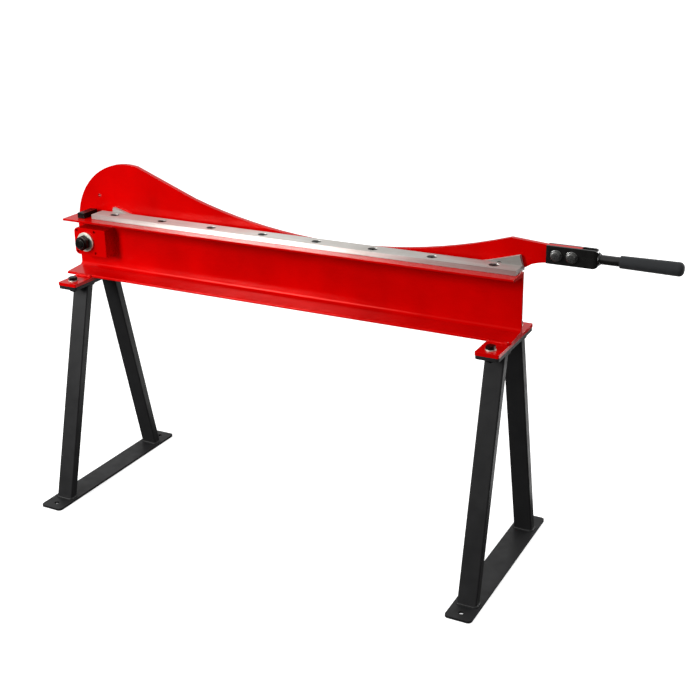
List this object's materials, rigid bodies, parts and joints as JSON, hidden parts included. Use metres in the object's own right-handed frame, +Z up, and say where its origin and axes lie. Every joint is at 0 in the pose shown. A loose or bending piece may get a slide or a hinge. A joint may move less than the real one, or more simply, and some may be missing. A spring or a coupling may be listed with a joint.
{
  "type": "lever sheet metal shear",
  "caption": "Lever guillotine shear for sheet metal: a channel bed with a flat lower blade on two trestle stands, and a hinged arm with a curved upper blade and a handle.",
  "frame": {"origin": "middle of the machine's overall box, on the floor", "axes": "+X along the bed from the pivot towards the handle, +Y to the rear where the arm hangs, +Z up"},
  "size_m": [1.365, 0.436, 0.7448],
  "materials": {
    "red_paint": "glossy bright red paint on rolled and flame-cut steel",
    "black_paint": "satin black powder coat",
    "ground_steel": "surface-ground tool steel",
    "zinc_plate": "zinc plated steel",
    "black_oxide": "black oxide steel, lightly oiled",
    "bronze": "plain bronze bearing bush",
    "grip_rubber": "matt dark grey rubber foam grip"
  },
  "bodies": {
    "frame": {"bed_channel": "red_paint", "pivot_block": "red_paint", "left_mount_bar": "red_paint", "right_mount_bar": "red_paint", "left_foot_bar": "black_paint", "left_front_leg": "black_paint", "left_rear_leg": "black_paint", "left_top_bar": "black_paint", "right_foot_bar": "black_paint", "right_front_leg": "black_paint", "right_rear_leg": "black_paint", "right_top_bar": "black_paint", "lower_blade": "ground_steel", "pivot_front_washer": "zinc_plate", "pivot_rear_washer": "zinc_plate", "pivot_spacer": "zinc_plate", "left_front_stand_washer": "zinc_plate", "left_rear_stand_washer": "zinc_plate", "right_front_stand_washer": "zinc_plate", "right_rear_stand_washer": "zinc_plate", "side_stop": "black_oxide", "pivot_bolt": "black_oxide", "pivot_nut": "black_oxide", "lower_blade_screw_1": "black_oxide", "lower_blade_screw_2": "black_oxide", "lower_blade_screw_3": "black_oxide", "lower_blade_screw_4": "black_oxide", "lower_blade_screw_5": "black_oxide", "lower_blade_screw_6": "black_oxide", "lower_blade_screw_7": "black_oxide", "lower_blade_screw_8": "black_oxide", "left_front_stand_bolt": "black_oxide", "left_front_stand_nut": "black_oxide", "left_rear_stand_bolt": "black_oxide", "left_rear_stand_nut": "black_oxide", "right_front_stand_bolt": "black_oxide", "right_front_stand_nut": "black_oxide", "right_rear_stand_bolt": "black_oxide", "right_rear_stand_nut": "black_oxide", "pivot_bush": "bronze"},
    "arm": {"arm_plate": "red_paint", "upper_blade": "ground_steel", "upper_blade_screw_1": "black_oxide", "upper_blade_screw_2": "black_oxide", "upper_blade_screw_3": "black_oxide", "upper_blade_screw_4": "black_oxide", "upper_blade_screw_5": "black_oxide", "upper_blade_screw_6": "black_oxide", "upper_blade_screw_7": "black_oxide", "upper_blade_screw_8": "black_oxide", "clevis": "black_paint", "clevis_bolt_1": "black_oxide", "clevis_bolt_2": "black_oxide", "clevis_nut_1": "black_oxide", "clevis_nut_2": "black_oxide", "clevis_washer_1": "black_oxide", "clevis_washer_2": "black_oxide", "handle_rod": "black_paint", "handle_grip": "grip_rubber"}
  },
  "joints": [
    {"name": "arm_pivot", "type": "hinge", "parent": "frame", "child": "arm", "pos_m": [-0.62213, 0.0416, 0.573], "axis": [0, -1, 0], "range_deg": [0, 60]}
  ]
}
